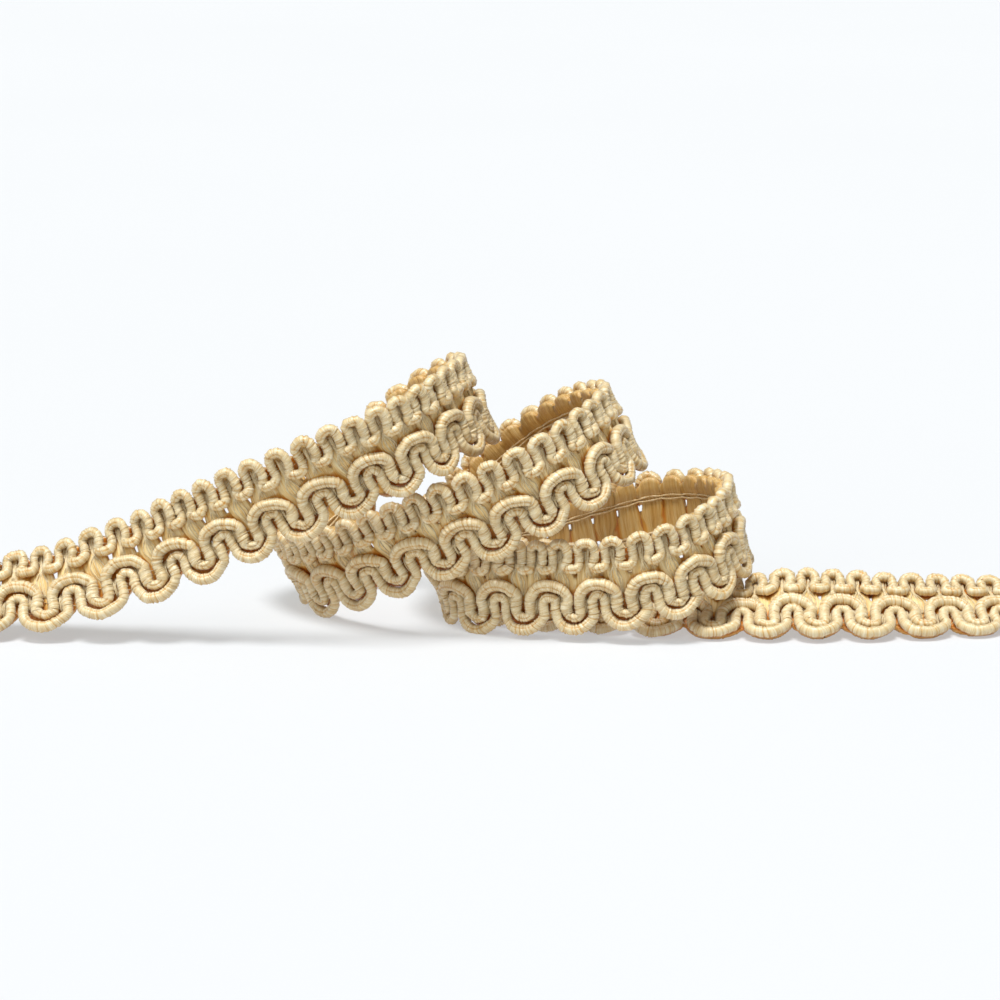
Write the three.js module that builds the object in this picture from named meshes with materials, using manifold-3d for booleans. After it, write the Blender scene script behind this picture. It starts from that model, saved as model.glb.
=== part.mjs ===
import * as THREE from "three";
import { mergeVertices } from "three/addons/utils/BufferGeometryUtils.js";
import Module from "manifold-3d";

// Gimp braid: a woven upholstery trim, 15 mm wide, that stands on its edge in three loose loops.
// Millimetres, +Z up, resting on z = 0. +X is the long way, -Y is the side that is looked at.

// Sizes of the braid itself
const BRAID_WIDTH = 15;
const HALF_WIDTH = BRAID_WIDTH / 2;
const SCALLOP_PITCH = 8.5;
const LOOP_PITCH = SCALLOP_PITCH / 2;

// The cords stand on the outer face, the floss lies behind them
const CORD_WIDTH = 1.55;
const CORD_DEPTH = 1.5;
const CORD_CROWN = 0.8;
const CORD_GAP = 0.35;
const FLOSS_GAP = 0.43;
const FLOSS_THICKNESS = 1.0;

// Bands across the width, measured from the middle line
const EDGE_BAND_FOOT = 2.6;
const SCALLOP_BAND_TOP = 1.3;
const FLOSS_TOP = 6.0;
const FLOSS_LOW = [-6.3, -5.7, -4.4, -5.7];

// The middle line of the braid, from the left end to the right end.
// Columns: x, y, z, then how far the width leans to the left and to the back, in degrees
const ROUTE = [
  // first run, rising to the right
  [-85.0, 4.0, 5.0, 0, 48],
  [-78.0, 3.5, 6.6, 6, 42],
  [-70.0, 2.5, 7.8, 10, 36],
  [-62.0, 1.0, 10.5, 14, 28],
  [-54.0, 0.0, 13.5, 18, 20],
  [-46.0, -1.5, 17.3, 22, 10],
  [-38.5, -3.0, 20.9, 24, 4],
  [-30.5, -4.5, 24.6, 25, -2],
  [-23.0, -5.5, 28.4, 25, -8],
  [-15.2, -5.0, 31.9, 25, -10],
  [-9.3, -1.0, 34.6, 25, -10],
  // first loop: over the top and down behind
  [-5.9, 6.0, 35.6, 25, -6],
  [-4.1, 15.0, 35.2, 24, 0],
  [-6.0, 25.0, 33.4, 25, 6],
  [-11.0, 31.0, 29.8, 25, 6],
  [-17.2, 33.5, 24.4, 26, 4],
  [-24.6, 33.0, 18.3, 27, 0],
  [-30.7, 31.0, 12.8, 28, 0],
  [-33.6, 25.5, 8.5, 27, 0],
  [-31.4, 17.5, 7.0, 26, -2],
  // second run, rising to the right
  [-24.4, 8.5, 9.8, 25, -6],
  [-16.5, 2.5, 14.0, 25, -6],
  [-7.5, -1.0, 18.1, 25, -6],
  [0.0, -2.5, 21.7, 26, -6],
  [7.2, -2.0, 25.4, 27, -6],
  [13.1, 2.0, 28.3, 28, -4],
  // second loop: over the top and down behind
  [17.2, 9.5, 30.2, 27, 0],
  [18.8, 18.0, 30.3, 26, 0],
  [16.8, 27.0, 29.0, 28, 4],
  [11.6, 35.0, 25.9, 28, 4],
  [5.5, 40.0, 21.0, 28, 4],
  [-1.2, 39.5, 15.3, 28, 0],
  [-7.4, 32.0, 10.6, 28, 0],
  [-10.2, 20.0, 8.2, 25, 0],
  [-8.9, 11.5, 7.2, 20, 0],
  [-5.0, 6.0, 7.2, 11, 0],
  // third run, along the floor and rising a little
  [1.0, 2.5, 8.1, 3, 0],
  [7.5, 0.5, 8.5, 1, 0],
  [15.5, -1.5, 9.3, 8, 0],
  [22.6, -2.5, 10.6, 14, 0],
  [30.0, -0.5, 12.7, 17, 0],
  [34.6, 5.0, 14.8, 15, 0],
  // third loop: round behind and down to the floor
  [36.8, 13.0, 15.8, 14, 0],
  [35.9, 23.0, 14.7, 12, 2],
  [32.2, 31.5, 13.3, 8, 4],
  [24.8, 36.0, 11.8, 4, 4],
  [16.5, 33.5, 10.3, 4, 2],
  [7.5, 29.5, 8.4, 4, 0],
  [0.0, 25.0, 7.4, 4, 0],
  [-3.0, 19.0, 7.4, 4, 0],
  [-2.0, 13.0, 7.4, 4, 6],
  // tail, leaning back along the floor
  [2.5, 9.5, 7.1, 2, 14],
  [9.5, 8.4, 6.5, 0, 26],
  [17.5, 7.6, 5.7, 0, 38],
  [25.0, 6.6, 4.8, 0, 48],
  [32.0, 5.8, 3.9, 0, 60],
  [38.0, 4.9, 3.7, 0, 64],
  [43.8, 4.3, 4.6, 0, 57],
  [50.5, 4.2, 4.6, 0, 57],
  [59.5, 4.9, 4.2, 0, 60],
  [69.0, 6.5, 3.7, 0, 63],
  [78.5, 8.6, 3.2, 0, 66],
  [86.0, 9.8, 3.0, 0, 68],
];

// Moves the whole route so that the braid's box is centred over the origin and its edge meets z = 0
const SHIFT = new THREE.Vector3(-0.2, -17.2, -0.1);

const GOLD = { color: 0xc9ae7c, roughness: 0.5, metalness: 0 };
const DEEP_GOLD = { color: 0xb08a4c, roughness: 0.65, metalness: 0 };

const wasm = await Module();
wasm.setup();

// The route as two smooth curves: the middle line, and the lean of the width along it
const middleLine = new THREE.CatmullRomCurve3(
  ROUTE.map(([x, y, z]) => new THREE.Vector3(x, y, z).add(SHIFT)),
  false,
  "catmullrom",
  0.5,
);
middleLine.arcLengthDivisions = 2000;
const leanLine = new THREE.CatmullRomCurve3(
  ROUTE.map(([, , , left, back]) => new THREE.Vector3(left, back, 0)),
  false,
  "catmullrom",
  0.5,
);
const LENGTH = middleLine.getLength();

// Whole repeats only, with the same bit left over at each end
const scallops = Math.floor(LENGTH / SCALLOP_PITCH);
const END_MARGIN = (LENGTH - scallops * SCALLOP_PITCH) / 2;

// The braid's own directions at a distance along it: along, across (upper edge up) and outward
function frameAt(distance) {
  const t = middleLine.getUtoTmapping(distance / LENGTH);
  const centre = middleLine.getPoint(t);
  const along = middleLine.getTangent(t);
  const lean = leanLine.getPoint(t).multiplyScalar(Math.PI / 180);
  const across = new THREE.Vector3(-Math.tan(lean.x), Math.tan(lean.y), 1);
  across.addScaledVector(along, -across.dot(along)).normalize();
  const outward = new THREE.Vector3().crossVectors(along, across);
  return { centre, across, outward };
}

// A point of the flat braid (distance along it, place across it, height out of it) laid on the route
function onBraid(distance, place, height) {
  const { centre, across, outward } = frameAt(distance);
  return centre.addScaledVector(across, place).addScaledVector(outward, height);
}

// A closed solid from rings of points, one ring for each station, with flat ends.
// Each ring runs anticlockwise as seen from the end of the braid
function sweep(rings) {
  const sides = rings[0].length;
  const position = rings.flat().flatMap((p) => [p.x, p.y, p.z]);
  const index = [];
  for (let i = 0; i + 1 < rings.length; i++) {
    for (let k = 0; k < sides; k++) {
      const a = i * sides + k;
      const b = i * sides + ((k + 1) % sides);
      index.push(a, b, b + sides, a, b + sides, a + sides);
    }
  }
  const last = (rings.length - 1) * sides;
  for (let k = 1; k + 1 < sides; k++) {
    index.push(0, k + 1, k);
    index.push(last, last + k, last + k + 1);
  }
  const geometry = new THREE.BufferGeometry();
  geometry.setAttribute("position", new THREE.Float32BufferAttribute(position, 3));
  geometry.setIndex(index);
  return geometry;
}

// The directions square to a flat line at each of its points, made longer at corners so that the
// cord keeps its width there
function mitres(line) {
  return line.map((point, i) => {
    const before = line[Math.max(i - 1, 0)];
    const after = line[Math.min(i + 1, line.length - 1)];
    const arriving = point.clone().sub(before).normalize();
    const leaving = after.clone().sub(point).normalize();
    const mean = arriving.clone().add(leaving).normalize();
    const stretch = 1 / Math.max(mean.dot(i ? arriving : leaving), 0.7);
    return new THREE.Vector2(-mean.y, mean.x).multiplyScalar(stretch);
  });
}

// A cord laid along a flat line on the braid's face: flat underneath, narrower on top.
// sideways moves it off the line, for cords that run side by side
function cord(line, sideways = 0) {
  const square = mitres(line);
  const section = [
    [CORD_WIDTH / 2, 0],
    [CORD_CROWN / 2, CORD_DEPTH],
    [-CORD_CROWN / 2, CORD_DEPTH],
    [-CORD_WIDTH / 2, 0],
  ];
  return sweep(
    line.map((point, i) =>
      section.map(([out, height]) => {
        const place = point.clone().addScaledVector(square[i], sideways + out);
        return onBraid(THREE.MathUtils.clamp(place.x, 0, LENGTH), place.y, height);
      }),
    ),
  );
}

// A flat line that repeats one period from end to end of the braid
function repeated(period, pitch, count, offset) {
  const line = [];
  for (let n = 0; n < count; n++) {
    for (const [along, place] of period) {
      line.push(new THREE.Vector2(END_MARGIN + offset + (n + along) * pitch, place));
    }
  }
  return line;
}

// The single cord of the upper edge: round crests, flat feet
const CREST = HALF_WIDTH - CORD_WIDTH / 2;
const FOOT = EDGE_BAND_FOOT + CORD_WIDTH / 2;
const edgePeriod = [
  [0.25, FOOT],
  [0.25, CREST - 1.0],
  [0.38, CREST],
  [0.62, CREST],
  [0.75, CREST - 1.0],
  [0.75, FOOT],
];

// The pair of cords of the scalloped edge: the middle between them swings in half circles
const PAIR_OFFSET = (CORD_WIDTH + CORD_GAP) / 2;
const CREST_MIDDLE = SCALLOP_BAND_TOP - CORD_WIDTH / 2 - PAIR_OFFSET;
const SCALLOP_MIDDLE = -HALF_WIDTH + CORD_WIDTH / 2 + PAIR_OFFSET;
const SWING = (CREST_MIDDLE - SCALLOP_MIDDLE) / 2;
const LEG_MIDDLE = (CREST_MIDDLE + SCALLOP_MIDDLE) / 2;
const SHOULDER = SWING * 0.74;
const scallopPeriod = [
  [0.25, LEG_MIDDLE],
  [0.325, LEG_MIDDLE + SHOULDER],
  [0.5, CREST_MIDDLE],
  [0.675, LEG_MIDDLE + SHOULDER],
  [0.75, LEG_MIDDLE],
  [0.825, LEG_MIDDLE - SHOULDER],
  [1.0, SCALLOP_MIDDLE],
  [1.175, LEG_MIDDLE - SHOULDER],
];

// The floss ground: a flat strip behind the cords, scalloped along its lower edge
function flossGround() {
  const back = -FLOSS_GAP - FLOSS_THICKNESS;
  const rings = [];
  for (let n = 0; n <= 4 * scallops; n++) {
    const at = END_MARGIN + (n * SCALLOP_PITCH) / 4;
    const low = FLOSS_LOW[n % 4];
    rings.push([
      onBraid(at, low, back),
      onBraid(at, FLOSS_TOP, back),
      onBraid(at, FLOSS_TOP, -FLOSS_GAP),
      onBraid(at, low, -FLOSS_GAP),
    ]);
  }
  return sweep(rings);
}

// Everything stops at the surface that it rests on, which leaves small flats under the scallops
function toManifold(geometry) {
  const bare = geometry.clone();
  bare.deleteAttribute("normal");
  bare.deleteAttribute("uv");
  const merged = mergeVertices(bare, 1e-4);
  return new wasm.Manifold(
    new wasm.Mesh({
      numProp: 3,
      vertProperties: merged.attributes.position.array,
      triVerts: new Uint32Array(merged.index.array),
    }),
  );
}

const belowFloor = toManifold(new THREE.BoxGeometry(400, 400, 40).translate(0, 0, -20));

function restingMesh(name, geometry, look) {
  const solid = toManifold(geometry).subtract(belowFloor);
  const { vertProperties, triVerts } = solid.getMesh();
  const cut = new THREE.BufferGeometry();
  cut.setAttribute("position", new THREE.BufferAttribute(vertProperties, 3));
  cut.setIndex(new THREE.BufferAttribute(triVerts, 1));
  cut.computeVertexNormals();
  const mesh = new THREE.Mesh(cut, new THREE.MeshStandardMaterial(look));
  mesh.name = name;
  return mesh;
}

const scallopLine = repeated(scallopPeriod, SCALLOP_PITCH, scallops, -SCALLOP_PITCH / 4);
const edgeLine = repeated(edgePeriod, LOOP_PITCH, 2 * scallops, 0);

const group = new THREE.Group();
group.add(restingMesh("floss_ground", flossGround(), DEEP_GOLD));
group.add(restingMesh("edge_cord", cord(edgeLine), GOLD));
group.add(restingMesh("scallop_cord_a", cord(scallopLine, PAIR_OFFSET), GOLD));
group.add(restingMesh("scallop_cord_b", cord(scallopLine, -PAIR_OFFSET), GOLD));

export default group;
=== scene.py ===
import bpy
import math
import numpy as np
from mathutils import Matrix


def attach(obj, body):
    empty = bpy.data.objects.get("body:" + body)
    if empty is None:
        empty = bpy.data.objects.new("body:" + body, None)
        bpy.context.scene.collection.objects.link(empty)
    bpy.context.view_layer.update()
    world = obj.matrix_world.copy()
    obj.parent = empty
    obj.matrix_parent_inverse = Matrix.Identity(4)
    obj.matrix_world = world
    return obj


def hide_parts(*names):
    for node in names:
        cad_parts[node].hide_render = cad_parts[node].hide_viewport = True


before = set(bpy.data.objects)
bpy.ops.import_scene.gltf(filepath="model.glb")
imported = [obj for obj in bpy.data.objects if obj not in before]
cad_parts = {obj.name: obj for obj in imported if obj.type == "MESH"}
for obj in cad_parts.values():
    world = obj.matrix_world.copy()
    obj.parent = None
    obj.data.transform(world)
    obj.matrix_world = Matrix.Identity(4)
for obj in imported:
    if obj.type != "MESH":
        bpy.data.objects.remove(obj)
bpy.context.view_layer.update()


# The floss ground: a flat strip of silky untwisted floss, about 12 mm wide, that all the cords are bound to.
# The floss lies across the braid in bundles, which are drawn together between the feet of the edge
# cord and again in the notches of the scallop cords. It stands on its lower edge in three loops.
#
# The middle line of the braid, in metres, as in the CAD source.
# Columns: x, y, z, then how far the width leans to the left and to the back, in degrees
ROUTE = [
    # first run, rising to the right
    (-0.0850, 0.0040, 0.0050, 0, 48), (-0.0780, 0.0035, 0.0066, 6, 42), (-0.0700, 0.0025, 0.0078, 10, 36),
    (-0.0620, 0.0010, 0.0105, 14, 28), (-0.0540, 0.0000, 0.0135, 18, 20), (-0.0460, -0.0015, 0.0173, 22, 10),
    (-0.0385, -0.0030, 0.0209, 24, 4), (-0.0305, -0.0045, 0.0246, 25, -2), (-0.0230, -0.0055, 0.0284, 25, -8),
    (-0.0152, -0.0050, 0.0319, 25, -10), (-0.0093, -0.0010, 0.0346, 25, -10),
    # first loop: over the top and down behind
    (-0.0059, 0.0060, 0.0356, 25, -6), (-0.0041, 0.0150, 0.0352, 24, 0), (-0.0060, 0.0250, 0.0334, 25, 6),
    (-0.0110, 0.0310, 0.0298, 25, 6), (-0.0172, 0.0335, 0.0244, 26, 4), (-0.0246, 0.0330, 0.0183, 27, 0),
    (-0.0307, 0.0310, 0.0128, 28, 0), (-0.0336, 0.0255, 0.0085, 27, 0), (-0.0314, 0.0175, 0.0070, 26, -2),
    # second run, rising to the right
    (-0.0244, 0.0085, 0.0098, 25, -6), (-0.0165, 0.0025, 0.0140, 25, -6), (-0.0075, -0.0010, 0.0181, 25, -6),
    (0.0000, -0.0025, 0.0217, 26, -6), (0.0072, -0.0020, 0.0254, 27, -6), (0.0131, 0.0020, 0.0283, 28, -4),
    # second loop: over the top and down behind
    (0.0172, 0.0095, 0.0302, 27, 0), (0.0188, 0.0180, 0.0303, 26, 0), (0.0168, 0.0270, 0.0290, 28, 4),
    (0.0116, 0.0350, 0.0259, 28, 4), (0.0055, 0.0400, 0.0210, 28, 4), (-0.0012, 0.0395, 0.0153, 28, 0),
    (-0.0074, 0.0320, 0.0106, 28, 0), (-0.0102, 0.0200, 0.0082, 25, 0), (-0.0089, 0.0115, 0.0072, 20, 0),
    (-0.0050, 0.0060, 0.0072, 11, 0),
    # third run, along the floor and rising a little
    (0.0010, 0.0025, 0.0081, 3, 0), (0.0075, 0.0005, 0.0085, 1, 0), (0.0155, -0.0015, 0.0093, 8, 0),
    (0.0226, -0.0025, 0.0106, 14, 0), (0.0300, -0.0005, 0.0127, 17, 0), (0.0346, 0.0050, 0.0148, 15, 0),
    # third loop: round behind and down to the floor
    (0.0368, 0.0130, 0.0158, 14, 0), (0.0359, 0.0230, 0.0147, 12, 2), (0.0322, 0.0315, 0.0133, 8, 4),
    (0.0248, 0.0360, 0.0118, 4, 4), (0.0165, 0.0335, 0.0103, 4, 2), (0.0075, 0.0295, 0.0084, 4, 0),
    (0.0000, 0.0250, 0.0074, 4, 0), (-0.0030, 0.0190, 0.0074, 4, 0), (-0.0020, 0.0130, 0.0074, 4, 6),
    # tail, leaning back along the floor
    (0.0025, 0.0095, 0.0071, 2, 14), (0.0095, 0.0084, 0.0065, 0, 26), (0.0175, 0.0076, 0.0057, 0, 38),
    (0.0250, 0.0066, 0.0048, 0, 48), (0.0320, 0.0058, 0.0039, 0, 60), (0.0380, 0.0049, 0.0037, 0, 64),
    (0.0438, 0.0043, 0.0046, 0, 57), (0.0505, 0.0042, 0.0046, 0, 57), (0.0595, 0.0049, 0.0042, 0, 60),
    (0.0690, 0.0065, 0.0037, 0, 63), (0.0785, 0.0086, 0.0032, 0, 66), (0.0860, 0.0098, 0.0030, 0, 68),
]
ROUTE_SHIFT = (-0.0002, -0.0172, -0.0001)
ROUTE_STEPS = 80
# The braid is worked out flat, in millimetres, and built in metres
MM = 1000
# No point lies lower than this over the surface that the braid rests on, in metres
LEAST_HEIGHT = 0.00002


def smooth_line(rows, steps):
    """A smooth line through rows of numbers, with that many steps from each row to the next."""
    rows = np.asarray(rows, float)
    rows = np.vstack([2 * rows[0] - rows[1], rows, 2 * rows[-1] - rows[-2]])
    before = rows[:-3, None]
    here = rows[1:-2, None]
    after = rows[2:-1, None]
    later = rows[3:, None]
    t = (np.arange(steps) / steps)[None, :, None]
    line = 0.5 * (2 * here + (after - before) * t + (2 * before - 5 * here + 4 * after - later) * t ** 2
                  + (3 * here - before - 3 * after + later) * t ** 3)
    return np.vstack([line.reshape(-1, rows.shape[1]), rows[-2:-1]])


def unit(v):
    return v / np.linalg.norm(v, axis=-1, keepdims=True)


def distances(line):
    """How far along a line each of its points lies."""
    return np.concatenate([[0], np.cumsum(np.linalg.norm(np.diff(line, axis=0), axis=1))])


# Along, across (towards the upper edge) and outward, at close steps of the middle line
middle = smooth_line(ROUTE, ROUTE_STEPS)
lean = np.radians(middle[:, 3:])
middle = middle[:, :3] + ROUTE_SHIFT
middle_distance = distances(middle) * MM
along = unit(np.gradient(middle, axis=0))
across = np.stack([-np.tan(lean[:, 0]), np.tan(lean[:, 1]), np.ones(len(lean))], 1)
across = unit(across - (across * along).sum(1)[:, None] * along)
outward = np.cross(along, across)
BRAID_LENGTH = middle_distance[-1]


def at_distance(values, distance):
    """One of the route's rows of vectors, read at each distance along the braid."""
    return np.stack([np.interp(distance, middle_distance, values[:, k]) for k in range(3)], -1)


def on_braid(distance, place, height):
    """Points of the flat braid, in millimetres, laid on the route: distance along it, place across it
    from the middle line, and height out of its face. No point goes under the surface it rests on."""
    place = np.asarray(place, float)[..., None] / MM
    height = np.asarray(height, float)[..., None] / MM
    points = (at_distance(middle, distance) + at_distance(across, distance) * place
              + at_distance(outward, distance) * height)
    points[..., 2] = np.maximum(points[..., 2], LEAST_HEIGHT)
    return points


def read_rows(items, field, width, kind=float):
    """One field of all the points, corners or values of a mesh, as rows of that width."""
    values = np.empty(len(items) * width, kind)
    items.foreach_get(field, values)
    return values.reshape(-1, width)


def read_points(piece):
    return read_rows(piece.data.vertices, "co", 3)


def read_corners(mesh):
    """The point at each corner of the faces."""
    return read_rows(mesh.loops, "vertex_index", 1, int)[:, 0]


def lay(piece):
    """Lays a piece that was modelled flat (x along, y across, z out of the face) on the route, and keeps
    its flat place as an attribute for the shading."""
    flat_place = read_points(piece)
    kept = piece.data.attributes.new("flat_place", "FLOAT_VECTOR", "POINT")
    kept.data.foreach_set("vector", flat_place.ravel())
    laid = on_braid(flat_place[:, 0] * MM, flat_place[:, 1] * MM, flat_place[:, 2] * MM)
    piece.data.vertices.foreach_set("co", laid.ravel())
    piece.data.update()


# The repeats: each scallop takes two loops of the edge cord. They are a little uneven, as woven, and are
# given where they show in the runs; between these the pitch is even.
# Columns: number of the scallop, distance of its centre along the braid
SCALLOP_CENTRES = [
    (-1, 1.7), (0, 10.3), (1, 19.2), (2, 28.1), (3, 36.4), (4, 44.6), (5, 53.1), (6, 61.7), (7, 70.4),
    (8, 77.9), (9, 84.8), (10, 93.1), (20, 179.4), (21, 188.8), (22, 197.6), (23, 206.1), (24, 214.4),
    (25, 222.7), (26, 230.9), (36, 312.6), (37, 320.8), (38, 329.0), (39, 336.6), (40, 344.5),
    (41, 351.8), (42, 359.1), (55, 470.9), (56, 479.6), (57, 487.2), (58, 494.8), (59, 502.9),
    (60, 511.6), (61, 519.8),
]
# Columns: number of the loop of the edge cord, distance of its centre
LOOP_CENTRES = [
    (-2, 1.5), (-1, 5.7), (0, 9.9), (1, 14.5), (2, 19.2), (3, 24.0), (4, 28.8), (5, 33.2), (6, 37.4),
    (7, 41.1), (8, 45.1), (9, 49.2), (10, 53.4), (11, 58.2), (12, 63.1), (13, 67.3), (14, 70.9),
    (15, 74.6), (16, 77.9), (17, 81.2), (18, 84.4), (19, 88.2), (41, 184.9), (42, 188.9), (43, 192.9),
    (44, 197.2), (45, 201.8), (46, 206.0), (47, 210.3), (48, 214.3), (49, 218.3), (50, 222.4),
    (51, 226.3), (73, 316.9), (74, 320.7), (75, 324.3), (76, 327.5), (77, 331.4), (78, 335.8),
    (79, 340.1), (80, 344.7), (81, 348.9), (82, 353.2), (83, 356.9), (84, 359.8), (85, 362.8),
    (114, 486.2), (115, 490.1), (116, 494.1), (117, 498.2), (118, 502.6), (119, 507.3), (120, 511.7),
    (121, 515.9), (122, 520.3), (123, 524.6),
]

# Where the tops of those loops stand. Columns: distance along the braid, place across it
LOOP_TOPS = [
    (9, 6.6), (17, 7.0), (33, 7.3), (42, 7.7), (55, 8.1), (66, 8.0), (78, 7.6), (95, 7.5), (188, 7.8),
    (202, 8.0), (220, 7.8), (228, 7.5), (328, 7.6), (344, 7.8), (358, 7.6), (486, 6.9), (504, 6.7),
    (519, 6.7),
]


def every_centre(known):
    """The centre of each repeat, those between the known ones spaced evenly."""
    known = np.array(known, float)
    return np.interp(np.arange(known[0, 0], known[-1, 0] + 1), known[:, 0], known[:, 1])


scallops = every_centre(SCALLOP_CENTRES)
loops = every_centre(LOOP_CENTRES)
END_TRIM = 0.5
FIRST_END = END_TRIM
LAST_END = BRAID_LENGTH - END_TRIM
dice = np.random.default_rng(820)

# The ground is woven flat as a fine grid, one column for each half thread of floss. Its UV map is in
# millimetres: the threads run up it, THREAD_PITCH apart
FLOSS_LOW = -5.8
FLOSS_TOP = 6.0
FLOSS_WIDTH = 11.8
FLOSS_THICKNESS = 0.6
THREAD_PITCH = 0.25
COLUMNS_A_BUNDLE = 18
ROWS = 21
bundles = len(loops)
columns = bundles * COLUMNS_A_BUNDLE


def thread_and_row(piece):
    """The column and the row of the grid that each point stands in."""
    grid = read_points(piece)
    return np.rint((grid[:, 0] + 0.5) * columns), np.rint((grid[:, 1] + 0.5) * (ROWS - 1))


bpy.ops.object.select_all(action="DESELECT")
bpy.ops.mesh.primitive_grid_add(x_subdivisions=columns, y_subdivisions=ROWS - 1, size=1,
                                location=(0, 0, 0))
floss = bpy.context.active_object
floss.name = "floss_strip"
thread, row = thread_and_row(floss)
corner = read_corners(floss.data)
uv = floss.data.uv_layers[0]
uv.name = "threads"
mapped = np.stack([thread[corner] * THREAD_PITCH, row[corner] * FLOSS_WIDTH / (ROWS - 1)], 1)
uv.data.foreach_set("uv", mapped.ravel())

# Pinholes where two bundles part: under the feet of the edge cord, and in the notches.
# Columns: lowest place, highest place, share of the partings that have none there
PINHOLES = [
    (1.15, 2.3, 0.15),
    (-2.6, -1.9, 0.7),
]
face_corner = corner.reshape(-1, 4)
face_thread = thread[face_corner].mean(1)
face_place = FLOSS_LOW + row[face_corner].mean(1) / (ROWS - 1) * FLOSS_WIDTH
beside = np.abs((face_thread + COLUMNS_A_BUNDLE / 2) % COLUMNS_A_BUNDLE - COLUMNS_A_BUNDLE / 2)
parting = np.rint(face_thread / COLUMNS_A_BUNDLE).astype(int)
chance = dice.random(bundles + 2)[parting]
hole = np.zeros(len(face_place), bool)
for lowest, highest, without in PINHOLES:
    hole |= (beside < 1) & (face_place > lowest) & (face_place < highest) & (chance > without)
bpy.ops.object.mode_set(mode="EDIT")
bpy.ops.mesh.select_mode(type="FACE")
bpy.ops.mesh.select_all(action="DESELECT")
bpy.ops.object.mode_set(mode="OBJECT")
floss.data.polygons.foreach_set("select", hole)
bpy.ops.object.mode_set(mode="EDIT")
bpy.ops.mesh.delete(type="FACE")
bpy.ops.object.mode_set(mode="OBJECT")
# A second sheet close behind the first one becomes the back of the floss
SHEET_GAP = 0.001
wall = floss.modifiers.new("thickness", "SOLIDIFY")
wall.thickness = SHEET_GAP
wall.offset = -1
bpy.ops.object.modifier_apply(modifier="thickness")

# How tightly the floss of a bundle is drawn together, and how far it stands out, across the braid.
# Columns: place, width of a fan as a share of its room, of a bundle behind an arch, front, swell of the
# front, swell of the back
BUNDLE_FORM = np.array([
    (-5.8, 0.97, 0.97, -0.20, 0.00, 0.10),
    (-4.4, 0.92, 0.97, -0.20, 0.00, 0.20),
    (-3.2, 0.80, 0.97, -0.15, 0.00, 0.20),
    (-2.1, 0.50, 0.97, -0.10, 0.05, 0.10),
    (-1.0, 0.62, 0.97, -0.05, 0.15, 0.15),
    (0.2, 0.90, 0.96, 0.00, 0.34, 0.25),
    (1.2, 0.97, 0.95, 0.00, 0.42, 0.25),
    (2.0, 0.92, 0.90, 0.00, 0.36, 0.20),
    (2.8, 0.88, 0.88, -0.05, 0.25, 0.20),
    (3.7, 0.84, 0.84, -0.15, 0.15, 0.35),
    (4.8, 0.86, 0.86, -0.25, 0.05, 0.60),
    (6.0, 0.90, 0.90, -0.08, 0.00, 0.62),
])
thread, row = thread_and_row(floss)
is_back = read_points(floss)[:, 2] < -SHEET_GAP / 2
place = FLOSS_LOW + row / (ROWS - 1) * FLOSS_WIDTH
bundle = np.minimum(thread // COLUMNS_A_BUNDLE, bundles - 1).astype(int)
# On the back the UV map starts 20 mm further on, so that the shading can tell the sides apart
BACK_UV_SHIFT = 20
BETWEEN_THE_SIDES = 15.0
uv = floss.data.uv_layers[0]
mapped = read_rows(uv.data, "uv", 2)
mapped[:, 1] += np.where(is_back[read_corners(floss.data)], BACK_UV_SHIFT, 0)
uv.data.foreach_set("uv", mapped.ravel())
# From -1 at the left side of a bundle to 1 at its right side. The outermost thread keeps close to its
# neighbour, so that a pinhole is a narrow slit
OUTERMOST_PLACE = 0.955
WIDEST = 0.96
in_bundle = (thread - bundle * COLUMNS_A_BUNDLE) / COLUMNS_A_BUNDLE * 2 - 1
at_parting = np.abs(in_bundle) > 0.999
outermost = (np.abs(in_bundle) > 0.85) & ~at_parting
in_bundle = np.where(outermost, np.sign(in_bundle) * OUTERMOST_PLACE, in_bundle)
is_fan = bundle % 2 == 1


def bundle_form(column):
    """One column of the table above, at the place of each point."""
    return np.interp(place, BUNDLE_FORM[:, 0], BUNDLE_FORM[:, column])


partings = np.concatenate([[FIRST_END - 0.2], (loops[1:] + loops[:-1]) / 2, [LAST_END + 0.2]])
room = partings[bundle + 1] - partings[bundle]
# A bundle hangs a little left of its loop, and a fan drifts to the right on its way down
BUNDLE_OFFSET = 0.3
FAN_TURNS_AT = 1.5
FAN_DRIFT = 0.14
drift = np.where(is_fan, np.clip((FAN_TURNS_AT - place) * FAN_DRIFT, -0.1, 0.45), 0)
heart = loops[bundle] - BUNDLE_OFFSET + drift
share = np.where(is_fan, bundle_form(1), bundle_form(2)) * dice.uniform(0.95, 1.05, bundles)[bundle]
distance = heart + np.clip(in_bundle, -WIDEST, WIDEST) * room / 2 * np.minimum(share, 0.985)
distance = np.where(at_parting, partings[bundle] + (in_bundle + 1) / 2 * room, distance)
distance = np.clip(distance, FIRST_END, LAST_END)
bulge = 1 - in_bundle ** 2
# The upper edge is rounded under each loop, and the lower edge follows the scallops: the floss is
# lengthened or shortened above TOP_FROM and below LOW_FROM
TOP_FROM = 3.0
LOW_FROM = -3.6
PARTING_TOP = 5.1
LOOP_RISE = 1.5
NOTCH_LOW = -3.9
SCALLOP_DROP = 2.5
top = PARTING_TOP + LOOP_RISE * np.sqrt(bulge)
stretch = (top - TOP_FROM) / (FLOSS_TOP - TOP_FROM)
place = np.where(place > TOP_FROM, TOP_FROM + (place - TOP_FROM) * stretch, place)
turn_of_scallop = np.interp(distance, scallops, np.arange(len(scallops))) % 1
low = NOTCH_LOW - SCALLOP_DROP * np.sin(turn_of_scallop * math.pi) ** 0.8
stretch = (low - LOW_FROM) / (FLOSS_LOW - LOW_FROM)
place = np.where(place < LOW_FROM, LOW_FROM + (place - LOW_FROM) * stretch, place)
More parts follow.
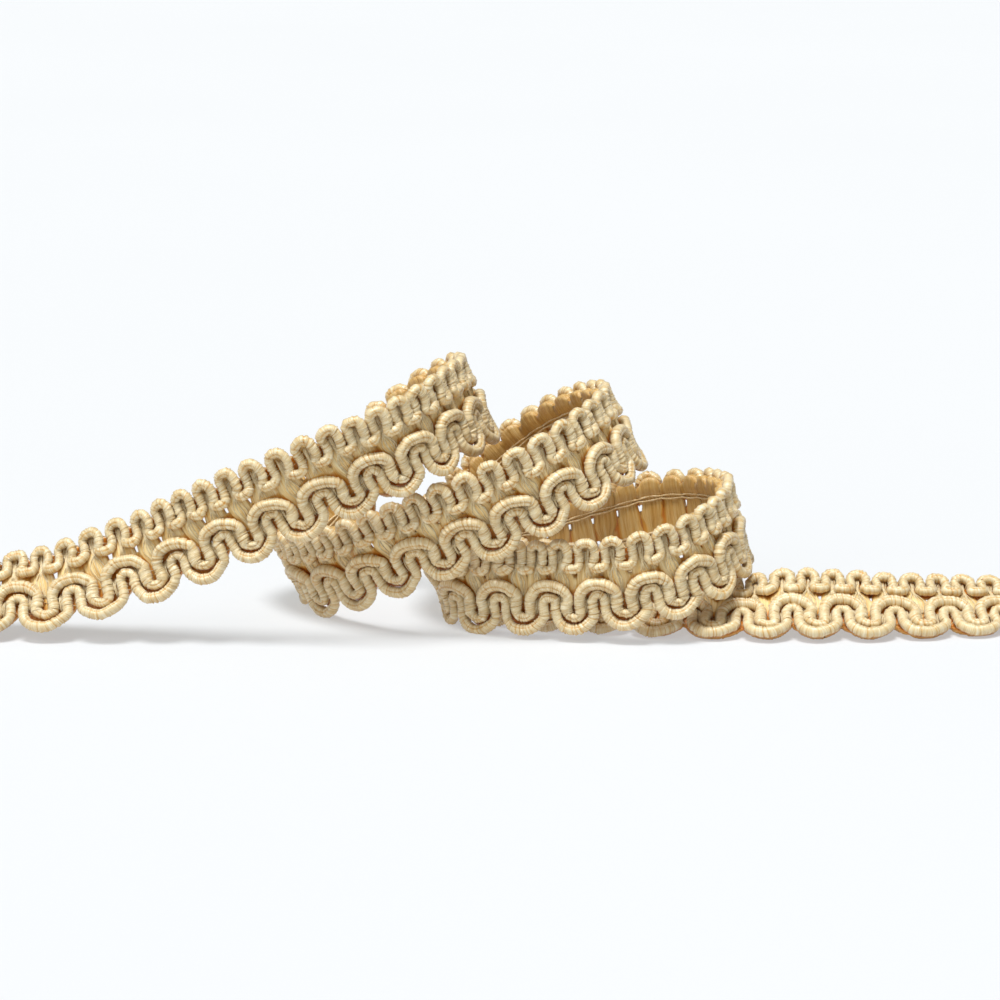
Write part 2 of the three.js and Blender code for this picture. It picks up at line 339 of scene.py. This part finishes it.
# Every second thread stands up as a fine ridge
THREAD_RIDGE = 0.05
ridge = np.where(thread % 2 == 0, THREAD_RIDGE, -THREAD_RIDGE)
ridge = ridge + dice.normal(0, 0.04, columns + 1)[thread.astype(int)]
front = bundle_form(3) + bundle_form(4) * bulge + ridge
back = bundle_form(3) - FLOSS_THICKNESS - bundle_form(5) * np.sqrt(bulge) - ridge
height = np.where(is_back, back, front)
# Where two bundles part the floss is thin, but above the feet the backs of the edge cord's legs show
# there as a pale ridge
LEG_RIDGE = 0.55
leg_back = np.clip((place - 3.3) / 0.5, 0, 1) * LEG_RIDGE
height_at_parting = np.where(is_back, bundle_form(3) - 0.40 - leg_back, bundle_form(3) - 0.12)
height = np.where(at_parting, height_at_parting, height)
floss.data.vertices.foreach_set("co", (np.stack([distance, place, height], 1) / MM).ravel())
floss.data.update()
lay(floss)
bpy.ops.object.shade_smooth()


class Finish:
    """A procedural material, built node by node."""

    def __init__(self, name):
        self.material = bpy.data.materials.new(name)
        self.material.use_nodes = True
        self.tree = self.material.node_tree
        self.shader = self.tree.nodes["Principled BSDF"]

    def node(self, kind, **settings):
        made = self.tree.nodes.new(kind)
        for name, value in settings.items():
            if name in made.inputs:
                made.inputs[name].default_value = value
            else:
                setattr(made, name, value)
        return made

    def join(self, source, target):
        self.tree.links.new(source, target)

    def set(self, name, value):
        """Sets a constant on the shader's own socket."""
        self.shader.inputs[name].default_value = value

    def drive(self, name, source):
        """Joins a pattern to the shader's own socket."""
        self.join(source, self.shader.inputs[name])

    def ramp(self, factor, stops):
        made = self.node("ShaderNodeValToRGB")
        while len(made.color_ramp.elements) < len(stops):
            made.color_ramp.elements.new(0.5)
        for element, (where, colour) in zip(made.color_ramp.elements, stops):
            element.position = where
            element.color = (*colour, 1)
        self.join(factor, made.inputs["Fac"])
        return made.outputs["Color"]

    def noise(self, vector, scale, detail=3, roughness=0.55):
        made = self.node("ShaderNodeTexNoise", Scale=scale, Detail=detail, Roughness=roughness)
        self.join(vector, made.inputs["Vector"])
        return made.outputs["Fac"]

    def stretched(self, vector, scale):
        made = self.node("ShaderNodeMapping")
        made.inputs["Scale"].default_value = scale
        self.join(vector, made.inputs["Vector"])
        return made.outputs["Vector"]

    def math(self, operation, first, second):
        made = self.node("ShaderNodeMath", operation=operation)
        for socket, value in zip(made.inputs, (first, second)):
            if isinstance(value, (int, float)):
                socket.default_value = value
            else:
                self.join(value, socket)
        return made.outputs[0]

    def mix(self, factor, first, second, blend="MIX"):
        made = self.node("ShaderNodeMix", data_type="RGBA", blend_type=blend)
        sockets = (made.inputs[0], made.inputs[6], made.inputs[7])
        for socket, value in zip(sockets, (factor, first, second)):
            if isinstance(value, (int, float)):
                socket.default_value = value
            elif isinstance(value, tuple):
                socket.default_value = (*value, 1)
            else:
                self.join(value, socket)
        return made.outputs[2]

    def bump(self, height, strength, distance):
        made = self.node("ShaderNodeBump", Strength=strength, Distance=distance)
        self.join(height, made.inputs["Height"])
        return made.outputs["Normal"]

    def depth(self):
        """The painted shade of a point, from how deep it lies among the threads, as an attribute of the
        piece.
        """
        return self.node("ShaderNodeAttribute", attribute_name="depth").outputs["Fac"]


# Silky floss: fine parallel filaments, pale where they bulge and painted in golden brown shade where they lie
# deep
# Height of the finest threads, in metres
THREAD_RELIEF = 0.00012
silk = Finish("silky_floss")
silk_uv = silk.node("ShaderNodeUVMap", uv_map="threads").outputs["UV"]
filaments = silk.noise(silk.stretched(silk_uv, (3.2, 0.10, 1)), 3.0, 4, 0.6)
strands = silk.noise(silk.stretched(silk_uv, (0.9, 0.05, 1)), 2.0, 2, 0.5)
tone = silk.math("ADD", silk.math("MULTIPLY", filaments, 0.55), silk.math("MULTIPLY", strands, 0.45))
silk_colour = silk.ramp(tone, [(0.32, (0.54, 0.29, 0.06)), (0.44, (0.80, 0.54, 0.19)),
                               (0.54, (0.93, 0.74, 0.37)), (0.68, (1.0, 0.92, 0.64))])
# Painted shade: the floss is painted darker golden brown the deeper it lies among the cords
shade = silk.ramp(silk.depth(), [(0.05, (1, 1, 1)), (0.3, (0.88, 0.67, 0.34)),
                                 (0.75, (0.80, 0.35, 0.05))])
silk_colour = silk.mix(1.0, silk_colour, shade, "MULTIPLY")
# Painted shade: the back of the floss is painted darker and duller than the front
parts = silk.node("ShaderNodeSeparateXYZ")
silk.join(silk_uv, parts.inputs[0])
behind = silk.math("GREATER_THAN", parts.outputs["Y"], BETWEEN_THE_SIDES)
back_painted_shade = silk.mix(behind, (1.0, 1.0, 1.0), (0.80, 0.74, 0.65))
silk_colour = silk.mix(1.0, silk_colour, back_painted_shade, "MULTIPLY")
silk.drive("Base Color", silk_colour)
silk.set("Roughness", 0.30)
silk.set("Specular IOR Level", 0.6)
silk.set("Sheen Weight", 0.1)
silk.set("Sheen Roughness", 0.4)
silk.drive("Normal", silk.bump(filaments, 0.8, THREAD_RELIEF))
floss.data.materials.append(silk.material)
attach(floss, "root")
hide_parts("floss_ground")


# The edge cord: a soft core wrapped round and round with fine rayon thread, about 1.5 mm thick.
# It runs up and down in a tight meander that makes the upper edge of the braid. Its feet turn
# under in short beans, and each left leg is drawn back into the floss.
#
# One loop. Columns: distance from the loop's centre, place across, height of the cord's middle, radius
EDGE_LOOP = [
    (-1.32, 6.00, 0.62, 0.74),
    (-0.76, 6.58, 0.78, 0.79),
    (0.00, 6.78, 0.86, 0.80),
    (0.74, 6.52, 0.88, 0.80),
    (1.12, 5.80, 0.84, 0.78),
    (1.17, 4.80, 0.80, 0.78),
    (1.00, 3.90, 0.76, 0.76),
    (0.66, 3.24, 0.86, 0.74),
    (1.05, 2.86, 0.96, 0.77),
    (1.80, 2.78, 1.00, 0.80),
    (2.48, 2.98, 0.92, 0.77),
    (2.86, 3.62, 0.58, 0.74),
    (2.92, 4.50, 0.50, 0.75),
    (2.92, 5.35, 0.54, 0.75),
]
LOOP_PITCH = 4.25
# How unevenly a cord is laid, in millimetres: each point, each repeat across the braid, and the height
# of each point. The last is the radius, as a share of itself
POINT_WANDER = 0.045
REPEAT_WANDER = 0.06
HEIGHT_WANDER = 0.03
RADIUS_WANDER = 0.02
# The wrapping thread: the rings of the mesh stand RING_STEP apart, every second one on a ridge, and each
# turn slants. Its valleys and the cord's crease are painted darker, as painted shade
CORD_STEPS = 14
RING_STEP = 0.165
RIDGE = 0.070
RIDGE_SHARE = 0.55
RIDGE_WANDER = 0.7
THREAD_WANDER = 0.018
WRAP_SLANT = 0.20
SLANT_WANDER = 0.025
LUMPS = 0.035
VALLEY_PAINTED_SHADE = 0.24
CREASE_PAINTED_SHADE = 0.42
CREASE_WANDER = 0.25
cord_lines = []


def meander(table, centres, usual_pitch):
    """One repeat of the table for each centre, end to end, stretched to the room it has.
    Gives rows of distance, place, height and radius, between the ends of the braid."""
    centres = np.concatenate([[centres[0] - usual_pitch], centres, [centres[-1] + usual_pitch]])
    gaps = np.diff(centres)
    rows = []
    for number, centre in enumerate(centres):
        before = gaps[max(number - 1, 0)] / usual_pitch
        after = gaps[min(number, len(gaps) - 1)] / usual_pitch
        repeat = np.array(table, float)
        repeat[:, 0] = centre + repeat[:, 0] * np.where(repeat[:, 0] < 0, before, after)
        repeat[:, :2] += dice.normal(0, POINT_WANDER, (len(repeat), 2))
        repeat[:, 1] += dice.normal(0, REPEAT_WANDER)
        repeat[:, 2] += dice.normal(0, HEIGHT_WANDER, len(repeat))
        repeat[:, 3] *= 1 + dice.normal(0, RADIUS_WANDER, len(repeat))
        rows.append(repeat)
    rows = np.vstack(rows)
    return rows[(rows[:, 0] > FIRST_END) & (rows[:, 0] < LAST_END)]


def smoothed(values, count):
    """Each value as the mean of that many values around it."""
    return np.convolve(values, np.ones(count) / count, "same")


def tube_faces(first, rings, sides):
    """The faces of a tube whose rings follow one another from its first point, with closed ends."""
    k = np.arange(sides)
    after = (k + 1) % sides
    base = first + np.arange(rings - 1)[:, None] * sides
    quads = np.stack([base + k, base + after, base + sides + after, base + sides + k], -1)
    last = first + (rings - 1) * sides
    ends = [list(range(first, first + sides))[::-1], list(range(last, last + sides))]
    return quads.reshape(-1, 4).tolist() + ends


def satin_piece(name, mesh):
    """A smooth piece of satin thread from a mesh that was modelled flat, laid on the route."""
    piece = bpy.data.objects.new(name, mesh)
    bpy.context.scene.collection.objects.link(piece)
    bpy.ops.object.select_all(action="DESELECT")
    piece.select_set(True)
    bpy.context.view_layer.objects.active = piece
    bpy.ops.object.shade_smooth()
    lay(piece)
    piece.data.materials.append(satin.material)
    return piece


def wrapped_cord(name, rows, angles, crease, crease_depth):
    """A round cord along rows of distance, place, height and radius, modelled flat, with uneven ridges
    for the turns of its wrapping thread. Where it runs along the braid it has a crease, at one of the
    angles round it. Its UV map runs along the cord in millimetres and once round it."""
    sides = len(angles)
    line = smooth_line(rows, CORD_STEPS)
    length = distances(line[:, :3])
    rings = int(length[-1] / RING_STEP)
    at = np.linspace(0, length[-1], rings)
    line = np.stack([np.interp(at, length, line[:, k]) for k in range(4)], 1)
    cord_lines.append(line)
    forward = unit(np.gradient(line[:, :3], axis=0))
    out = unit(np.array([0, 0, 1.0]) - forward[:, 2:] * forward)
    side = np.cross(forward, out)
    angle = np.radians(angles)
    lumps = smoothed(dice.normal(0, 1, rings), 7) * LUMPS
    turn = np.where(np.arange(rings) % 2 == 0, RIDGE_SHARE, -RIDGE_SHARE)
    turn = turn + dice.normal(0, RIDGE_WANDER, rings)
    turn = RIDGE * (turn - smoothed(turn, 5))
    radius = (line[:, 3] * (1 + lumps) + turn)[:, None] + dice.normal(0, THREAD_WANDER, (rings, sides))
    # The crease fades in as the cord turns to run along the braid
    lengthwise = np.clip((forward[:, 0] - 0.35) / 0.4, 0, 1)
    creased = lengthwise * (0.75 + 4 * lumps + dice.normal(0, CREASE_WANDER, rings))
    radius[:, crease] -= crease_depth * np.clip(creased, 0, 1.3)
    slant = line[:, 3][:, None] * WRAP_SLANT * np.sin(angle)
    slant = slant + dice.normal(0, SLANT_WANDER, (rings, sides))
    points = (line[:, None, :3] + out[:, None] * (radius * np.cos(angle))[..., None]
              + side[:, None] * (radius * np.sin(angle))[..., None] + forward[:, None] * slant[..., None])
    mesh = bpy.data.meshes.new(name)
    mesh.from_pydata((points.reshape(-1, 3) / MM).tolist(), [], tube_faces(0, rings, sides))
    k = np.arange(sides)
    here = np.repeat(at[:-1, None], sides, 1)
    there = np.repeat(at[1:, None], sides, 1)
    run = np.stack([here, here, there, there], -1)
    round_it = np.broadcast_to(np.stack([k, k + 1, k + 1, k], -1) / sides, run.shape)
    wrap = np.vstack([np.stack([run, round_it], -1).reshape(-1, 2), np.zeros((2 * sides, 2))])
    mesh.uv_layers.new(name="wrap").data.foreach_set("uv", wrap.ravel())
    # Painted shade: the valleys between the turns, and the crease, are painted darker
    painted_groove_shade = np.repeat(VALLEY_PAINTED_SHADE * np.clip(-turn / RIDGE, 0, 1.6)[:, None], sides, 1)
    painted_groove_shade[:, crease] += CREASE_PAINTED_SHADE * np.clip(creased, 0, 1)
    mesh.attributes.new("painted_groove_shade", "FLOAT", "POINT").data.foreach_set("value", painted_groove_shade.ravel())
    return satin_piece(name, mesh)


# Satin thread wrapped round the cord: fine turns side by side, a little uneven in tone
satin = Finish("champagne_satin_wrap")
wrap_uv = satin.node("ShaderNodeUVMap", uv_map="wrap").outputs["UV"]
turns = satin.noise(satin.stretched(wrap_uv, (7.0, 0.8, 1)), 1.0, 4, 0.65)
tufts = satin.noise(satin.stretched(wrap_uv, (1.6, 1.2, 1)), 1.0, 2, 0.5)
tone = satin.math("ADD", satin.math("MULTIPLY", turns, 0.6), satin.math("MULTIPLY", tufts, 0.4))
satin_colour = satin.ramp(tone, [(0.34, (0.61, 0.42, 0.18)), (0.5, (0.78, 0.635, 0.36)),
                                 (0.63, (0.89, 0.82, 0.61))])
# Painted shade: the thread is painted golden brown to dark brown the deeper it lies, in crevices, valleys,
# creases and on undersides
shade = satin.ramp(satin.depth(), [(0.05, (1, 1, 1)), (0.35, (0.88, 0.66, 0.36)),
                                   (0.65, (0.74, 0.37, 0.09)), (0.95, (0.66, 0.25, 0.03))])
satin_colour = satin.mix(1.0, satin_colour, shade, "MULTIPLY")
satin.drive("Base Color", satin_colour)
satin.set("Roughness", 0.27)
satin.set("Specular IOR Level", 0.85)
satin.set("Sheen Weight", 0.3)
satin.set("Sheen Roughness", 0.45)
satin.drive("Normal", satin.bump(turns, 0.8, THREAD_RELIEF))

# Each loop is drawn up or down to its top, from the place of its feet
FEET = 2.0
USUAL_REACH = 5.54
edge_rows = meander(EDGE_LOOP, loops, LOOP_PITCH)
reach = (np.interp(edge_rows[:, 0], *np.array(LOOP_TOPS).T) - FEET) / USUAL_REACH
edge_rows[:, 1] = FEET + (edge_rows[:, 1] - FEET) * reach
# The angles round the cord are closer where its crease is: the crease is at the second one
EDGE_ANGLES = (-8, 8, 24, 60, 105, 150, 195, 240, 285, 330)
EDGE_CREASE = 1
edge_cord = wrapped_cord("edge_meander_cord", edge_rows, EDGE_ANGLES, EDGE_CREASE, 0.14)
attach(edge_cord, "root")
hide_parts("edge_cord")


# The first scallop cord: the same wrapped cord, a little thicker. It arches over the second one, comes
# down in a short wide leg, and turns up again in a small foot.
# Columns: distance from the scallop's centre, place across, height of the cord's middle, radius
ARCH_CORD = [
    (-3.06, -4.10, 0.72, 0.82),
    (-3.06, -3.10, 0.70, 0.82),
    (-3.02, -2.00, 0.78, 0.83),
    (-2.70, -1.04, 0.92, 0.90),
    (-1.95, -0.20, 1.02, 0.92),
    (-0.80, 0.24, 1.06, 0.94),
    (0.50, 0.28, 1.06, 0.94),
    (1.70, -0.02, 1.04, 0.92),
    (2.65, -0.58, 0.98, 0.88),
    (3.25, -1.25, 0.84, 0.80),
    (3.20, -2.10, 0.66, 0.92),
    (3.08, -3.00, 0.66, 0.98),
    (3.12, -3.90, 0.68, 0.92),
    (3.60, -4.56, 0.80, 0.70),
    (4.40, -4.84, 0.86, 0.72),
    (5.10, -4.66, 0.80, 0.70),
]
SCALLOP_PITCH = 8.5
ARCH_ANGLES = (-22, -6, 6, 18, 50, 90, 130, 170, 210, 250, 285, 315)
ARCH_CREASE = 2
CREASE_DEPTH = 0.20
arch_rows = meander(ARCH_CORD, scallops, SCALLOP_PITCH)
arch_cord = wrapped_cord("arch_cord", arch_rows, ARCH_ANGLES, ARCH_CREASE, CREASE_DEPTH)
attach(arch_cord, "root")
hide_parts("scallop_cord_a")


# The second scallop cord: nested under the first at the top, and round the outside of its foot at the
# bottom, where it makes the scalloped lower edge.
# Columns: distance from the scallop's centre, place across, height of the cord's middle, radius
SCALLOP_CORD = [
    (-0.90, -4.30, 0.70, 0.77),
    (-0.92, -3.30, 0.64, 0.78),
    (-0.92, -2.40, 0.64, 0.76),
    (-0.54, -1.70, 0.72, 0.73),
    (0.15, -1.45, 0.76, 0.73),
    (0.86, -1.70, 0.72, 0.73),
    (1.14, -2.40, 0.64, 0.76),
    (1.14, -3.30, 0.64, 0.78),
    (1.18, -4.30, 0.72, 0.78),
    (1.46, -5.22, 0.86, 0.80),
    (2.26, -6.10, 0.94, 0.84),
    (3.35, -6.60, 0.98, 0.86),
    (4.45, -6.66, 0.98, 0.86),
    (5.60, -6.34, 0.96, 0.84),
    (6.72, -5.66, 0.88, 0.80),
    (7.40, -4.95, 0.78, 0.76),
]
SCALLOP_ANGLES = (0, 30, 65, 100, 140, 180, 215, 250, 285, 315, 327, 339)
SCALLOP_CREASE = 10
scallop_rows = meander(SCALLOP_CORD, scallops, SCALLOP_PITCH)
scallop_cord = wrapped_cord("scallop_cord", scallop_rows, SCALLOP_ANGLES, SCALLOP_CREASE, CREASE_DEPTH)
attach(scallop_cord, "root")
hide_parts("scallop_cord_b")


# The binding threads: single fine rayon threads woven along the braid. In front they pass over every leg
# of the cords and draw it in; behind, two pairs hold the floss under the feet and in the notches.
#
# Places of the front threads across the braid, their radius, and how far they sink into a cord
THREAD_SIDES = 4
FRONT_PLACES = (5.35, 4.25, -2.45, -3.95)
FRONT_RADIUS = 0.075
SAG = 0.02
END_MARGIN = 0.2


def fine_threads(name, strands):
    """Thin threads, each given as rows of distance, place, height and radius, in one piece."""
    k = np.arange(THREAD_SIDES)
    angle = k / THREAD_SIDES * 2 * math.pi + 0.4
    points = []
    faces = []
    wrap = []
    first = 0
    for rows in strands:
        forward = unit(np.gradient(rows[:, :3], axis=0))
        side = unit(np.cross(forward, (0.0, 0.0, 1.0)) + (0, 1e-9, 0))
        out = np.cross(side, forward)
        ring = (rows[:, None, :3] + rows[:, 3][:, None, None]
                * (out[:, None] * np.cos(angle)[:, None] + side[:, None] * np.sin(angle)[:, None]))
        points.append(ring.reshape(-1, 3))
        faces += tube_faces(first, len(rows), THREAD_SIDES)
        run = distances(rows[:, :3])
        wrap.append(np.stack([np.repeat(run, THREAD_SIDES), np.tile(k / THREAD_SIDES, len(rows))], 1))
        first += len(rows) * THREAD_SIDES
    mesh = bpy.data.meshes.new(name)
    mesh.from_pydata((np.vstack(points) / MM).tolist(), [], faces)
    wrap = np.vstack(wrap)[read_corners(mesh)]
    mesh.uv_layers.new(name="wrap").data.foreach_set("uv", wrap.ravel())
    piece = satin_piece(name, mesh)
    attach(piece, "root")
    return piece


def over_the_cords(place):
    """A thread along the braid at one place across it, that lies over each cord it meets."""
    run = np.arange(FIRST_END + END_MARGIN, LAST_END - END_MARGIN, 0.14)
    sway = place + 0.08 * np.sin(run * 1.7 + place) + 0.05 * np.sin(run * 0.43 + 2 * place)
    top = np.full(len(run), -0.05)
    for line in cord_lines:
        near = np.abs(line[:, 1] - np.interp(line[:, 0], run, sway)) < 0.12
        for centre, _, height, radius in line[near]:
            first, last = np.searchsorted(run, (centre - radius, centre + radius))
            off = (run[first:last] - centre) / radius
            face = height + radius * np.sqrt(np.clip(1 - off ** 2, 0, 1)) - SAG
            top[first:last] = np.maximum(top[first:last], face)
    top = np.convolve(np.pad(top, 1, "edge"), (0.25, 0.5, 0.25), "valid")
    return np.stack([run, sway, top, np.full(len(run), FRONT_RADIUS)], 1)


front_threads = fine_threads("front_binding_threads", [over_the_cords(place) for place in FRONT_PLACES])

# Columns: place across the braid, and the side to which that thread of a pair sways
BACK_PAIRS = [
    (3.35, 1),
    (3.0, -1),
    (-2.6, 1),
    (-2.95, -1),
]
BACK_RADIUS = 0.18
BACK_SWAY = 0.18
BACK_HEIGHT = -0.82
BACK_SWELL = 0.34
BACK_PROUD = 0.06


def behind_the_floss(place, to_side):
    """A thread behind the floss, that swells over each bundle and dips where two bundles part."""
    run = np.arange(FIRST_END + END_MARGIN, LAST_END - END_MARGIN, 0.3)
    turn = np.interp(run, partings, np.arange(len(partings))) % 1
    swell = np.sin(turn * math.pi)
    height = BACK_HEIGHT - BACK_SWELL * np.interp(place, (-4, 3, 5), (0.5, 0.3, 1)) * swell
    sway = place + to_side * BACK_SWAY * swell
    return np.stack([run, sway, height - BACK_PROUD, np.full(len(run), BACK_RADIUS)], 1)


back_threads = fine_threads("back_binding_threads", [behind_the_floss(*row) for row in BACK_PAIRS])


# Wisps of floss: a few strands of each bundle lie loose on the front. They start up in the hollow of a
# loop, are drawn in between two feet, and fan out again below.
#
# One wisp. Columns: distance from the foot of the loop, share of its spread, place across, height
NARROW_WISP = [
    (0.00, 0.22, 3.6, 0.30),
    (0.00, 0.20, 2.8, 0.42),
    (0.00, 0.60, 1.7, 0.46),
    (0.00, 0.90, 0.7, 0.10),
]
FAN_WISP = [
    (0.00, 0.22, 3.6, 0.30),
    (0.00, 0.20, 2.8, 0.42),
    (0.00, 0.85, 1.7, 0.46),
    (0.15, 1.15, 0.7, 0.38),
    (0.35, 0.75, -0.4, 0.30),
    (0.55, 0.30, -1.6, 0.15),
]
SPREADS = (-0.85, -0.5, -0.15, 0.2, 0.55, 0.9)
FOOT_OFFSET = 0.28
STRAND_STEPS = 3


def strand(rows, thinnest, thickest):
    """A strand through rows of distance, place and height, of one random radius."""
    return np.column_stack([rows, np.full(len(rows), dice.uniform(thinnest, thickest))])


def wisps():
    strands = []
    for number, centre in enumerate(loops):
        if not FIRST_END + 1.5 < centre < LAST_END - 1.5:
            continue
        foot = centre - FOOT_OFFSET
        for spread in SPREADS:
            spread += dice.normal(0, 0.12)
            wisp = [(centre - 0.15 + spread * 0.42, dice.uniform(5.4, 6.2), 0.22),
                    (centre - 0.2 + spread * 0.42, 4.6, 0.26)]
            for off, share, place, height in FAN_WISP if number % 2 == 1 else NARROW_WISP:
                wisp.append((foot + off + spread * share, place, height))
            line = smooth_line(wisp, STRAND_STEPS)
            line[:, :2] += dice.normal(0, 0.02, (len(line), 2))
            strands.append(strand(line, 0.06, 0.11))
    return strands


loose_floss = fine_threads("floss_wisps", wisps())


# Slips of floss: three strands of the ground on each side of a scallop, of the same untwisted floss.
# They bulge out between the legs of the two scallop cords, which hold them at both ends.
#
# Columns: distance from the scallop's centre, place of the upper end, how far that end is to the left
SLIPS = [
    (-2.20, -1.70, 0),
    (-1.95, -1.60, 0),
    (-1.70, -1.70, 0),
    (1.75, -0.95, 0.32),
    (2.00, -0.85, 0.30),
    (2.20, -0.90, 0.15),
]


def slips():
    strands = []
    for centre in scallops:
        if not FIRST_END + 3 < centre < LAST_END - 3:
            continue
        for off, top, to_left in SLIPS:
            bend = dice.normal(0, 0.05, 2)
            slip = [(centre + off - to_left + bend[0], top, 0.15),
                    (centre + off, top - 0.9, 0.55),
                    (centre + off + bend[1], top - 1.8, 0.55),
                    (centre + off, top - 2.8, 0.1)]
            strands.append(strand(smooth_line(slip, STRAND_STEPS), 0.09, 0.13))
    return strands


floss_slips = fine_threads("floss_slips", slips())


# Painted shade: the deeper each thread lies among its neighbours, the more golden brown shade is painted
# on it, in the crevices. The cords' faces are drawn as a relief on the flat braid, and a point's depth is
# how far it lies under the mean relief around it.
RELIEF_STEP = 0.1
RELIEF_WIDTH = 17
GROUND_HEIGHT = -0.15
relief_cells = (int(BRAID_LENGTH / RELIEF_STEP) + 3, int(RELIEF_WIDTH / RELIEF_STEP))
relief = np.full(relief_cells, GROUND_HEIGHT)


def relief_cell(spots):
    """The cell of the relief that each spot of the flat braid falls in."""
    cell = ((spots + (0, RELIEF_WIDTH / 2)) / RELIEF_STEP).astype(int)
    return np.clip(cell, 0, np.array(relief_cells) - 1)


for line in cord_lines:
    ahead = unit(np.gradient(line[:, :2], axis=0))
    for offset in np.arange(-1, 1.01, 0.1):
        spot = line[:, :2] + np.stack([-ahead[:, 1], ahead[:, 0]], 1) * (line[:, 3] * offset)[:, None]
        rise = line[:, 2] + line[:, 3] * math.sqrt(max(1 - offset ** 2, 0))
        cell = relief_cell(spot)
        np.maximum.at(relief, (cell[:, 0], cell[:, 1]), rise)


def softened(field, reach):
    """The field with each cell the mean of those around it, that many cells to each side."""
    for axis in (0, 1):
        field = sum(np.roll(field, step, axis) for step in range(-reach, reach + 1)) / (2 * reach + 1)
    return field


# The near relief, within half a millimetre, and the wider one, within a millimetre, in equal parts
mean_relief = 0.5 * softened(softened(relief, 2), 2) + 0.5 * softened(softened(relief, 5), 5)
FULL_DEPTH = 0.8
UNDERSIDE_PAINTED_SHADE = 0.2
# The deepest painted shade of the open backs, of the floss and of the threads
BACK_PAINTED_SHADE = 0.14
FLOSS_PAINTED_SHADE = 0.7
THREAD_PAINTED_SHADE = 0.85


def paint_shade_by_depth(piece, most):
    """Turns the piece's flat place into painted shade: its depth, no deeper than most, a darker tone on its
    undersides, and the painted shade of its own valleys and creases."""
    kept = piece.data.attributes["flat_place"]
    flat_place = read_rows(kept.data, "vector", 3) * MM
    cell = relief_cell(flat_place[:, :2])
    under = mean_relief[cell[:, 0], cell[:, 1]] - flat_place[:, 2]
    normal = read_rows(piece.data.vertex_normals, "vector", 3)
    # Painted shade: the undersides of the threads are painted darker
    underside = np.clip(0.05 - normal[:, 2], 0, 1)
    # The backs of the floss and of the loops' tops lie open, and are given less painted shade
    is_open = (flat_place[:, 2] < -0.6) | ((flat_place[:, 1] > 5.4) & (flat_place[:, 2] < 0.5))
    deepest = np.where(is_open, BACK_PAINTED_SHADE, most)
    # Painted shade: darker golden brown the deeper a point lies under the mean relief
    depth = np.clip(under / FULL_DEPTH, 0, deepest) + UNDERSIDE_PAINTED_SHADE * underside
    piece.data.attributes.remove(kept)
    painted_groove_shade = piece.data.attributes.get("painted_groove_shade")
    if painted_groove_shade:
        depth += read_rows(painted_groove_shade.data, "value", 1)[:, 0]
        piece.data.attributes.remove(painted_groove_shade)
    piece.data.attributes.new("depth", "FLOAT", "POINT").data.foreach_set("value", depth)


paint_shade_by_depth(floss, FLOSS_PAINTED_SHADE)
for piece in (edge_cord, arch_cord, scallop_cord, front_threads, back_threads, loose_floss, floss_slips):
    paint_shade_by_depth(piece, THREAD_PAINTED_SHADE)


# The surface that the braid lies on: a large sheet of pale matt paper, lit by one broad soft light over
# it and a weaker one in front to the left. The camera looks down on the braid from a little above.
FLOOR_SIZE = 12
FLOOR_GLOW = 0.42
ROOM_LIGHT = 0.28
bpy.ops.object.select_all(action="DESELECT")
bpy.ops.mesh.primitive_plane_add(size=FLOOR_SIZE, location=(0, 0, 0))
floor = bpy.context.active_object
floor.name = "pale_surface"
paper = Finish("pale_matt_surface")
grain = paper.noise(paper.node("ShaderNodeTexCoord").outputs["Object"], 3.0, 2)
paper.drive("Base Color", paper.ramp(grain, [(0.3, (0.385, 0.40, 0.415)), (0.7, (0.395, 0.41, 0.425))]))
paper.set("Roughness", 0.9)
paper.set("Emission Color", (0.94, 0.97, 1.0, 1))
paper.set("Emission Strength", FLOOR_GLOW)
floor.data.materials.append(paper.material)

world = bpy.data.worlds.new("soft_room")
world.use_nodes = True
room_light = world.node_tree.nodes["Background"]
room_light.inputs["Color"].default_value = (1.0, 0.94, 0.83, 1)
room_light.inputs["Strength"].default_value = ROOM_LIGHT
bpy.context.scene.world = world


def soft_light(name, elevation, azimuth, spread, strength):
    """A distant softbox: azimuth 0 is behind the camera, and spread is how wide it looks."""
    lamp = bpy.data.lights.new(name, "SUN")
    lamp.energy = strength
    lamp.angle = math.radians(spread)
    made = bpy.data.objects.new(name, lamp)
    bpy.context.scene.collection.objects.link(made)
    made.rotation_euler = (math.radians(90 - elevation), 0, math.radians(azimuth))


soft_light("overhead_softbox", elevation=77, azimuth=-22, spread=22, strength=3.1)
soft_light("front_left_softbox", elevation=42, azimuth=-40, spread=50, strength=0.8)
bpy.context.scene.view_settings.view_transform = "Standard"

LOOKED_AT = (-0.0002, -0.0172, 0.0222)
CAMERA_DISTANCE = 0.590
CAMERA_ELEVATION = 12
view = bpy.data.cameras.new("camera")
view.lens = 138
view.sensor_width = 36
view.clip_start = 0.01
camera = bpy.data.objects.new("camera", view)
bpy.context.scene.collection.objects.link(camera)
camera.location = (LOOKED_AT[0],
                   LOOKED_AT[1] - CAMERA_DISTANCE * math.cos(math.radians(CAMERA_ELEVATION)),
                   LOOKED_AT[2] + CAMERA_DISTANCE * math.sin(math.radians(CAMERA_ELEVATION)))
camera.rotation_euler = (math.radians(90 - CAMERA_ELEVATION), 0, 0)
bpy.context.scene.camera = camera

bpy.context.view_layer.update()
